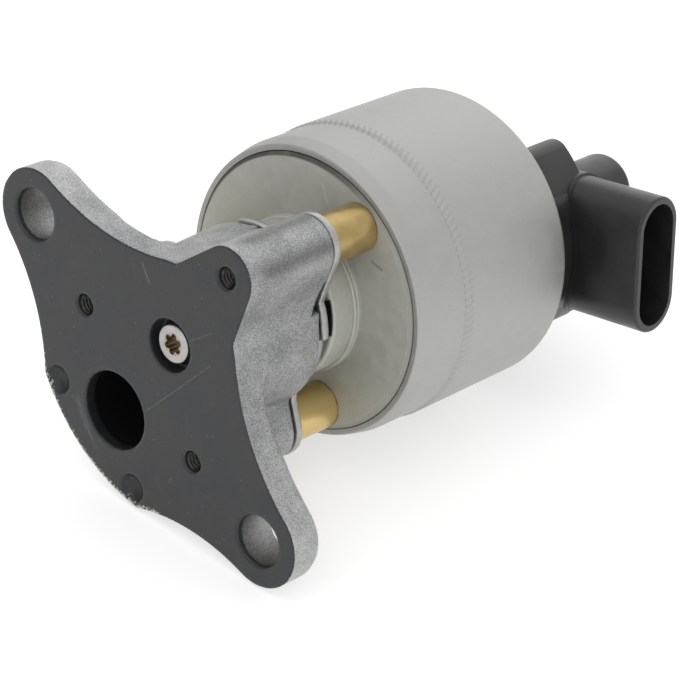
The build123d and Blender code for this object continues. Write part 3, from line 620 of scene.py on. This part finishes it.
# ---------------------------------------------------------------- meshes
def mesh_object(name, points, faces, smooth_angle, material):
    """A smooth mesh with its edges sharp above the angle, from points in mm and faces of any size."""
    mesh = bpy.data.meshes.new(name)
    points = np.asarray(points, np.float32) * MM
    sizes = np.array([len(face) for face in faces])
    mesh.vertices.add(len(points))
    mesh.vertices.foreach_set("co", points.ravel())
    mesh.loops.add(int(sizes.sum()))
    mesh.loops.foreach_set("vertex_index", np.concatenate(list(faces)).astype(np.int32))
    mesh.polygons.add(len(sizes))
    mesh.polygons.foreach_set("loop_start", np.concatenate([[0], np.cumsum(sizes)[:-1]]).astype(np.int32))
    mesh.polygons.foreach_set("loop_total", sizes.astype(np.int32))
    mesh.update(calc_edges=True)
    mesh.validate()
    mesh.polygons.foreach_set("use_smooth", np.ones(len(mesh.polygons), bool))
    mesh.set_sharp_from_angle(angle=math.radians(smooth_angle))
    mesh.materials.append(material)
    obj = bpy.data.objects.new(name, mesh)
    bpy.context.collection.objects.link(obj)
    return obj


def store(obj, name, values):
    layer = obj.data.attributes.new(name, "FLOAT", "POINT")
    layer.data.foreach_set("value", np.asarray(values, np.float32))


# ---------------------------------------------------------------- casting
CASTING_LOW, CASTING_HIGH = (-43.1, -35.1, -1.1), (43.1, 26.9, 20.4)


def flange_outline():
    """The flange's outline, from the notch round one ear to the skirt, and its mirror image."""
    ear = EARS[0]
    corner = (SKIRT_HALF_WIDTH, -math.sqrt(SKIRT_RADIUS ** 2 - SKIRT_HALF_WIDTH ** 2))
    notch = polar(WAIST_RADIUS, NOTCH_TURN)
    upper = circles_meet((0, 0), WAIST_RADIUS + UPPER_SWEEP, ear, EAR_RADIUS + UPPER_SWEEP)
    lower = circles_meet(ear, EAR_RADIUS + LOWER_SWEEP, corner, LOWER_SWEEP)
    start, top = toward((0, 0), upper, WAIST_RADIUS), toward(ear, upper, EAR_RADIUS)
    bottom, tip = toward(ear, lower, EAR_RADIUS), (ear[0] + EAR_RADIUS, ear[1])
    foot = (0, -SKIRT_RADIUS)
    half = arc((0, 0), notch, start, 12) + arc(upper, start, top) + arc(ear, top, tip) + arc(ear, tip, bottom)
    return mirrored(half + arc(lower, bottom, corner) + arc((0, 0), corner, foot, 24) + [foot])


def top_lobe(body_radius, radius):
    """The lobe on +Y, whose flanks run straight from its round end to the notches."""
    notch = polar(body_radius, NOTCH_TURN)
    reach = math.hypot(notch[0], notch[1] - SCREW_CIRCLE)
    lean = math.degrees(math.atan2(notch[1] - SCREW_CIRCLE, notch[0])) + math.degrees(math.acos(radius / reach))
    x, y = polar(radius, lean)
    middle, flank, crest = (0, SCREW_CIRCLE), (x, SCREW_CIRCLE + y), (0, SCREW_CIRCLE + radius)
    round_end = arc(middle, flank, crest, 20) + arc(middle, crest, (-x, flank[1]), 20)
    return [(0, 0), notch] + round_end + [(-x, flank[1]), (-notch[0], notch[1])]


def lobe_distance(x, y):
    return polygon_distance(top_lobe(WAIST_RADIUS, LOBE_RADIUS), x, y)


NOTCH = polar(NOTCH_RADIUS, NOTCH_TURN)
FLANK_END = top_lobe(WAIST_RADIUS, LOBE_RADIUS)[2]
FLANK = toward((0, 0), (FLANK_END[0] - NOTCH[0], FLANK_END[1] - NOTCH[1]), 1.0)


def along_flank(x, y):
    """How far a point lies from the notch along the lobe's straight flank."""
    return (np.abs(x) - NOTCH[0]) * FLANK[0] + (y - NOTCH[1]) * FLANK[1]


def into_flank(x, y):
    """How deep a point lies behind the lobe's straight flank."""
    return -(np.abs(x) - NOTCH[0]) * FLANK[1] + (y - NOTCH[1]) * FLANK[0]


def raised_ear(ear, x, y, z, edge):
    """The crowned back of an ear and its neck, highest round the bolt hole."""
    neck = (0.62 * ear[0], 0.75 * ear[1])
    out = capsule_distance(ear, neck, 0.0, x, y)[:, :, None]
    crown = EAR_CROWN * (1 - np.clip((out - EAR_CROWN_EDGE) / EAR_CROWN_EDGE, 0, 1) ** 1.4)
    pad = np.maximum(out - EAR_RADIUS, (z - FLANGE_THICKNESS - crown) * 0.75)
    pad = either(pad, np.broadcast_to(z - FLANGE_THICKNESS + 0.1, pad.shape), 1.6)
    return np.maximum(pad, edge + 0.4)


def casting_form(x, y, z, outline, lobe):
    """The casting without its holes: flange, waisted body with three lobes, gas duct and raised ears."""
    edge = outline[:, :, None]
    flange = both(edge, z - FLANGE_THICKNESS, FLANGE_EDGE)
    body = np.hypot(x, y)[:, :, None] - (WAIST_RADIUS + SHOULDER_GROWTH * z / CASTING_END)
    sides = [capsule_distance((0, 0), screw, LOBE_RADIUS, x, y) for screw in SCREWS[1:]]
    body = either(body, np.minimum(*sides)[:, :, None], 0.9)
    body = either(body, lobe[:, :, None], np.clip(0.3 + 0.35 * z, 0.3, 2.6))
    flush = np.clip(np.hypot(np.abs(x) - NOTCH[0], y - NOTCH[1]) - WEDGE_LENGTH, 0, 1) * (y > NOTCH[1])
    flush = (flush * np.clip((lobe + 0.7) / 0.3, 0, 1))[:, :, None]
    body = both(body, z - CASTING_END - 0.26 * flush, 0.5 - 0.35 * flush)
    duct = capsule_distance((0, PORT_Y), (0, 0), DUCT_RADIUS, x, y)[:, :, None]
    body = either(body, both(duct, z - DUCT_TOP, DUCT_ROUNDING), 1.4)
    root = np.clip(0.7 + 0.16 * (y + 14.0), 0.7, 2.4)[:, :, None]
    rise = either(body, np.broadcast_to(z - FLANGE_THICKNESS + 0.1, body.shape), root)
    rise = np.maximum(rise, edge + 0.15)
    solid = np.minimum(np.minimum(flange, body), rise)
    for ear in EARS:
        solid = np.minimum(solid, raised_ear(ear, x, y, z, edge))
    return np.maximum(solid, -z)


def cut_passages(solid, x, y, z):
    """The inlet, the rooms above it, and the port with the way across to it."""
    radius, port = np.hypot(x, y)[:, :, None], np.hypot(x, y - PORT_Y)[:, :, None]
    solid = without(solid, np.maximum(radius - INLET_RADIUS, z - INLET_HEIGHT), 0.2)
    guide = np.maximum(radius - GUIDE_POCKET_RADIUS, GUIDE_POCKET_FLOOR - z)
    for cut in (room(radius, z, SEAT_POCKET), room(radius, z, CHAMBER), guide):
        solid = np.maximum(solid, -cut)
    solid = without(solid, np.maximum(port - PORT_RADIUS, z - PORT_LAND), 0.3)
    across = np.maximum(np.abs(x) - ACROSS_HALF_WIDTH, np.abs(y - PORT_Y / 2) + PORT_Y / 2)[:, :, None]
    across = np.maximum(across, np.abs(z - ACROSS_MIDDLE) - ACROSS_HALF_HEIGHT)
    return np.maximum(solid, -np.minimum(room(port, z, PORT_CAVITY), across))


def cut_holes(solid, x, y, z):
    """The bolt holes, the tapped holes, the dimples, and the wedges beside the cover's tabs."""
    for ex, ey in EARS:
        solid = without(solid, np.hypot(x - ex, y - ey)[:, :, None] - BOLT_HOLE_RADIUS, 0.55)
    thread_room = SCREW_ROOM_RADIUS - TAP_RADIUS
    wall = SCREW_ROOM_RADIUS - thread_room * np.clip((TAP_LENGTH - z) / 0.3, 0, 1) + np.clip(0.32 - z, 0, 0.32)
    for sx, sy in SCREWS:
        solid = without(solid, np.hypot(x - sx, y - sy)[:, :, None] - wall, 0.05)
    for dx, dy in DIMPLES:
        ball = np.hypot(np.hypot(x - dx, y - dy)[:, :, None], z + DIMPLE_BALL_DROP) - DIMPLE_BALL
        solid = without(solid, ball, 0.12)
    along, depth = along_flank(x, y), into_flank(x, y)
    wedge = np.maximum(np.maximum(-along, along - WEDGE_LENGTH), depth - WEDGE_DEPTH)[:, :, None]
    wedge = np.maximum(wedge, (CASTING_END - WEDGE_DROP * (1 - along / WEDGE_LENGTH))[:, :, None] - z)
    return np.maximum(solid, -wedge)


def near(px, py, place, reach):
    return np.hypot(px - place[0], py - place[1]) < reach


def paint_depth(px, py, pz):
    """How high above the mounting face the dark finish reaches. Inside the passages its colour reaches everywhere, and
    in the tapped holes too, where it is painted shade.
    """
    face, hole_rim, bowl, everywhere = 0.13, 1.05, 2.0, 30.0
    depth = np.full(len(px), face)
    for ear in EARS:
        depth = np.where(near(px, py, ear, 5.9), hole_rim, depth)
    depth = np.where(near(px, py, (0, PORT_Y), 8.6) & (pz < PASSAGE_TOP), everywhere, depth)
    depth = np.where(near(px, py, (0, 0), 12.0), everywhere, depth)
    # In the tapped holes the dark colour is painted shade.
    for screw in SCREWS:
        depth = np.where(near(px, py, screw, 2.6) & (pz < 18), everywhere, depth)
    for dimple in DIMPLES:
        depth = np.where(near(px, py, dimple, 2.8), bowl, depth)
    return depth


def shading(px, py, pz):
    """Painted shade, from nought to one: black in the cavities and the wedges beside the cover's tabs, soft in the bolt
    holes, and a dark band on the top lobe's flank.
    """
    black = 0.97
    in_hole = near(px, py, EARS[0], 4.8) | near(px, py, EARS[1], 4.8)
    shade = np.where(in_hole, np.clip(0.75 - 0.10 * pz, 0.2, 0.75), 0.0)
    in_wedge = (pz > 16.8) & (np.abs(along_flank(px, py) - 2.3) < 3.3) & (py > 6) & (lobe_distance(px, py) < -0.06)
    shade = np.where(in_wedge, black, shade)
    # A painted dark band across the top lobe's round end, standing in for shade there.
    turn = np.degrees(np.arctan2(py - SCREW_CIRCLE, -np.abs(px)))
    band = 0.55 * np.exp(-((turn - 124) / 17) ** 2) * (py > 19) * np.clip((pz - 0.5) / 4, 0, 1)
    shade = np.maximum(shade, band)
    in_port = near(px, py, (0, PORT_Y), 8.7) & (pz > 2.2) & (pz < PASSAGE_TOP)
    return np.where(in_port, black, shade)


def edge_wear(px, py, pz, outline):
    """How likely the dark finish is chipped: along the face's edge, most at the skirt's lower left."""
    i = np.clip(((px - CASTING_LOW[0]) / GRID_STEP).astype(int), 0, outline.shape[0] - 1)
    j = np.clip(((py - CASTING_LOW[1]) / GRID_STEP).astype(int), 0, outline.shape[1] - 1)
    edge = np.clip(1.0 + outline[i, j] / 1.5, 0, 1)
    skirt = np.clip((-(px * 0.2 + py) - 20.0) / 6.0, 0, 1) * (px > -18) * (px < 22)
    lobe = np.clip((py - 23.0) / 1.5, 0, 1)
    return np.where(pz < 1.0, edge * (0.25 + np.maximum(0.75 * skirt, 0.05 * lobe)), 0.0)


def casting():
    """The flanged casting, with its edges and roots rounded."""
    axes, (x, y), z = grid(CASTING_LOW, CASTING_HIGH)
    lobe = lobe_distance(x, y)
    outline = np.minimum(polygon_distance(flange_outline(), x, y), lobe)
    solid = cut_holes(cut_passages(casting_form(x, y, z, outline, lobe), x, y, z), x, y, z)
    points, quads = surface(solid.astype(np.float32), axes)
    low, high = np.array(cad_box[0]) / MM, np.array(cad_box[1]) / MM
    placed = np.clip(points + (0, AXIS_Y, 0), low, high)
    px, py, pz = (placed - (0, AXIS_Y, 0)).T
    obj = mesh_object("casting", placed, quads, 38, casting_material())
    store(obj, "paint_depth", paint_depth(px, py, pz))
    store(obj, "shade", shading(px, py, pz))
    store(obj, "wear", edge_wear(px, py, pz, outline))
    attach(obj, "root")
    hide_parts("base_casting")


# ---------------------------------------------------------------- cover, can, threads and springs
COVER_LOW, COVER_HIGH = (-23.1, -19.1, 19.0), (23.1, 26.6, 21.8)


def cover(material):
    """The cover plate, with softened edges and its two tabs."""
    axes, (x, y), z = grid(COVER_LOW, COVER_HIGH)
    radius = np.hypot(x, y)
    sides = np.minimum(*[capsule_distance((0, 0), screw, COVER_LOBE_RADIUS, x, y) for screw in SCREWS[1:]])
    outline = either(radius - COVER_RADIUS, sides, 1.6)
    outline = np.minimum(outline, polygon_distance(top_lobe(COVER_RADIUS, COVER_LOBE_RADIUS), x, y))
    for turn in TAB_TURNS:
        u, v = polar(1, turn)
        tab = np.maximum(radius - TAB_REACH, np.abs(y * u - x * v) - TAB_HALF_WIDTH)
        outline = either(outline, np.maximum(tab, -(x * u + y * v)), 0.3)
    plate = both(outline[:, :, None], np.abs(z - COVER_MIDDLE) - COVER_HALF, 0.22)
    screw_holes = np.min([np.hypot(x - px, y - py) for px, py in SCREWS], axis=0) - COVER_SCREW_HOLE
    holes = np.minimum(radius - COVER_BORE, screw_holes)
    points, quads = surface(np.maximum(plate, -holes[:, :, None]).astype(np.float32), axes)
    obj = mesh_object("cover", points + (0, AXIS_Y, 0), quads, 38, material)
    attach(obj, "root")
    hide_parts("cover_plate")


def rounded(corners, steps):
    """A closed outline from (radius, height, rounding) corners, each rounding as an arc of that many steps."""
    out = []
    n = len(corners)
    for i, corner in enumerate(corners):
        p, a, b = (np.array(c[:2], float) for c in (corner, corners[i - 1], corners[(i + 1) % n]))
        r = corner[2]
        if r == 0:
            out.append(tuple(p))
            continue
        u, v = (a - p) / np.linalg.norm(a - p), (b - p) / np.linalg.norm(b - p)
        half = math.acos(np.clip(np.dot(u, v), -1, 1)) / 2
        centre = p + (u + v) / np.linalg.norm(u + v) * r / math.sin(half)
        reach = r / math.tan(half)
        start, end = p + u * reach, p + v * reach
        out += arc(centre, start, end, steps) + [tuple(end)]
    return out


def lathe(name, profile, count, angle, material):
    """A turned piece from a closed outline of (radius, height) points, going round once."""
    turns = np.linspace(0, 2 * math.pi, count, endpoint=False)
    profile = np.asarray(profile, float)
    n = len(profile)
    x, y = np.outer(np.cos(turns), profile[:, 0]), np.outer(np.sin(turns), profile[:, 0]) + AXIS_Y
    points = np.stack([x, y, np.tile(profile[:, 1], (count, 1))], -1).reshape(-1, 3)
    k, m = np.meshgrid(np.arange(count), np.arange(n), indexing="ij")
    a, b = (k * n + m).ravel(), (((k + 1) % count) * n + m).ravel()
    c, d = (((k + 1) % count) * n + (m + 1) % n).ravel(), (k * n + (m + 1) % n).ravel()
    return mesh_object(name, points, np.stack([a, b, c, d], 1), angle, material)


def can_profile():
    """The can's section: rolled lips, a front band, and a wall with rows of points where the notches are cut."""
    corners = [
        (CAN_LIP, CAN_FRONT, 0.12), (25.95, CAN_FRONT, 0.35), (BAND_RADIUS, CAN_FRONT + 3.1, 3.0),
        (BAND_RADIUS, 43.9, 0.6), (CAN_RADIUS, 44.6, 0.6), (CAN_RADIUS, CAN_REAR, 1.5), (CAN_REAR_LIP, CAN_REAR, 0.3),
        (CAN_REAR_LIP, 70.1, 0), (CAN_BORE, 70.1, 0), (CAN_BORE, 45.7, 0), (CAN_LIP, 44.1, 0)]
    rows = 42.6 + 0.2 * np.arange(24)
    line = rounded(corners, 7)
    profile = []
    for p, q in zip(line, line[1:] + line[:1]):
        profile.append(p)
        if p[0] > 26.5 and q[0] > 26.5 and q[1] - p[1] > 1:
            profile += [(p[0], row) for row in rows if p[1] + 0.1 < row < q[1] - 0.05]
    return profile


def can():
    """The can, with the ring of slanted notches that its step carries."""
    material = satin_metal("can_steel", (0.45, 0.45, 0.435), (0.41, 0.41, 0.395), 0.57, 3.2, 0.3, 0.008, 0.85)
    obj = lathe("can", can_profile(), NOTCH_COUNT * 10, 30, material.mat)
    mesh = obj.data
    co = np.empty(len(mesh.vertices) * 3, np.float32)
    mesh.vertices.foreach_get("co", co)
    co = co.reshape(-1, 3) / MM
    dx, dy, height = co[:, 0], co[:, 1] - AXIS_Y, co[:, 2]
    radius = np.hypot(dx, dy)
    slant, half_width, half_length, depth, skin = 0.55, 0.21, 1.15, 0.17, 26.3
    pitch = 2 * math.pi * CAN_RADIUS / NOTCH_COUNT
    phase = np.arctan2(dy, dx) * NOTCH_COUNT / (2 * math.pi) + slant * (height - NOTCH_RING) / pitch
    phase -= np.round(phase)
    across = np.clip(1 - (np.abs(phase) / half_width) ** 2, 0, 1)
    along = np.clip(1 - (np.abs(height - NOTCH_RING) / half_length) ** 4, 0, 1)
    scale = 1 - depth * across * along * (radius > skin) / radius
    co[:, 0], co[:, 1] = dx * scale, dy * scale + AXIS_Y
    mesh.vertices.foreach_set("co", (co * MM).ravel().astype(np.float32))
    mesh.update()
    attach(obj, "root")
    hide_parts("can_shell")


def threads():
    """The screw threads inside the three tapped holes, as a ridge that winds up the wall."""
    pitch, start, turns, per_turn = 0.7, 0.45, 8, 40
    wall, crest, half, run_out = 1.78, 1.50, 0.26, 12
    # The thread ridges are coloured near black: painted shade inside the tapped holes.
    material = satin_metal("thread_steel", (0.075, 0.075, 0.07), (0.02, 0.02, 0.02), 0.35, 0.5, 0.2).mat
    last = turns * per_turn
    for n, (sx, sy) in enumerate(SCREWS):
        points, faces = [], []
        for k in range(last + 1):
            a = 2 * math.pi * k / per_turn
            height = start + pitch * k / per_turn
            ridge = (wall - crest) * min(1.0, k / run_out, (last - k) / run_out)
            for r, dh in ((wall, -half), (wall - ridge, 0.0), (wall, half)):
                points.append((sx + r * math.cos(a), sy + r * math.sin(a) + AXIS_Y, height + dh))
            if k:
                i = 3 * k
                faces += [(i - 3, i, i + 1, i - 2), (i - 2, i + 1, i + 2, i - 1)]
        obj = mesh_object("thread_%d" % (n + 1), points, faces, 50, material)
        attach(obj, "root")


def coil_spring(name, node, wire, radius, turns, material):
    """A round-wire spring between its seats."""
    low, high = (corner[2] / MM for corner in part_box(node))
    per_turn, sides = 48, 16
    count = int(turns * per_turn) + 1
    turn = (np.arange(count) * 2 * math.pi / per_turn)[:, None]
    height = np.linspace(low + wire / 2, high - wire / 2, count)[:, None]
    lean = math.atan2(high - low - wire, 2 * math.pi * radius * turns)
    around = (np.arange(sides) * 2 * math.pi / sides)[None]
    out, up = radius + np.cos(around) * wire / 2, np.sin(around) * wire / 2
    x = out * np.cos(turn) + up * math.sin(lean) * np.sin(turn)
    y = out * np.sin(turn) - up * math.sin(lean) * np.cos(turn)
    points = np.stack([x, y + AXIS_Y, height + up * math.cos(lean)], -1).reshape(-1, 3)
    faces = []
    for k in range(0, (count - 1) * sides, sides):
        for j in range(sides):
            a, b = k + j, k + (j + 1) % sides
            faces.append((a, a + sides, b + sides, b))
    faces += [tuple(range(sides)), tuple(range(count * sides - 1, (count - 1) * sides - 1, -1))]
    obj = mesh_object(name, points, faces, 50, material)
    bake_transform(obj)
    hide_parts(node)


# ---------------------------------------------------------------- the scene
camera()
floor()
studio()
steel = satin_metal("plate_steel", (0.46, 0.46, 0.45), (0.36, 0.36, 0.35), 0.40, 1.6, 0.2).mat
spring = satin_metal("spring_steel", (0.5, 0.5, 0.5), (0.35, 0.35, 0.35), 0.35, 1.0, 0.2).mat
materials = {
    "plate_steel": steel,
    "spring_steel": spring,
    "pole_steel": pole_material(),
    "stainless": pintle_material(),
    "seat_steel": satin_metal("seat_steel", (0.20, 0.20, 0.20), (0.14, 0.14, 0.14), 0.40, 1.0, 0.2).mat,
    "screw_steel": satin_metal("screw_steel", (0.20, 0.20, 0.20), (0.14, 0.14, 0.14), 0.40, 1.0, 0.2).mat,
    "gold_zinc": gold_material(),
    "cap_plastic": plastic_material("cap_plastic", (0.013, 0.013, 0.0135), (0.020, 0.020, 0.021), 0.34),
    "inner_plastic": plastic_material("inner_plastic", (0.03, 0.03, 0.03), (0.045, 0.045, 0.045)),
    "seal_rubber": grained("seal_rubber", (0.02, 0.02, 0.02), (0.03, 0.03, 0.03), 0.6, 0.0, 0.3),
    "gasket": grained("gasket", (0.015, 0.015, 0.015), (0.03, 0.03, 0.03), 0.7, 0.0, 0.3),
    "copper": grained("copper", (0.55, 0.26, 0.13), (0.42, 0.18, 0.08), 0.35, 1.0, 0.4),
    "terminal_brass": grained("terminal_brass", (0.72, 0.66, 0.48), (0.62, 0.56, 0.40), 0.3, 1.0, 0.3),
    "track_board": grained("track_board", (0.80, 0.78, 0.72), (0.70, 0.68, 0.62), 0.5, 0.0, 0.5),
    "sintered": grained("sintered", (0.20, 0.19, 0.18), (0.13, 0.125, 0.12), 0.55, 0.8, 0.2)}
casting()
cover(steel)
can()
threads()
coil_spring("valve_spring", "return_spring", 1.0, 4.4, 5.5, spring)
coil_spring("follower_spring", "sensor_spring", 0.6, 2.9, 4.5, spring)
for part in frame["record"]["subparts"]:
    if part["material_slot"] in materials:
        mesh = frame["nodes"][part["node"]].data
        mesh.materials.clear()
        mesh.materials.append(materials[part["material_slot"]])
